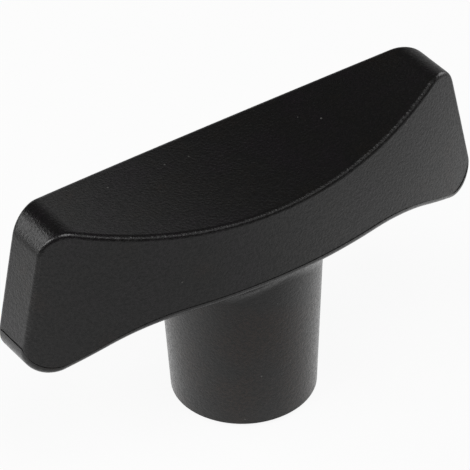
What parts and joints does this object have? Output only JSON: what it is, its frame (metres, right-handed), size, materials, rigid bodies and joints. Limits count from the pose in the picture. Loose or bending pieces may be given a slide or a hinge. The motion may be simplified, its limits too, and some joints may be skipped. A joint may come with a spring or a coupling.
{
  "type": "clamping knob",
  "caption": "T-shaped clamping knob: dished grip bar with slanted ends on a tapered round hub, with a blind threaded brass insert in its foot.",
  "frame": {"origin": "centre of the insert's clamping face, on the thread's axis", "axes": "+X along the grip bar, +Y from front to back, +Z from the clamping face up to the grip"},
  "size_m": [0.0802, 0.0258, 0.0457],
  "materials": {
    "moulded_plastic": "fine matte moulded grain",
    "turned_brass": "turned"
  },
  "bodies": {
    "root": {"knob_body": "moulded_plastic", "threaded_insert": "turned_brass"}
  },
  "joints": []
}
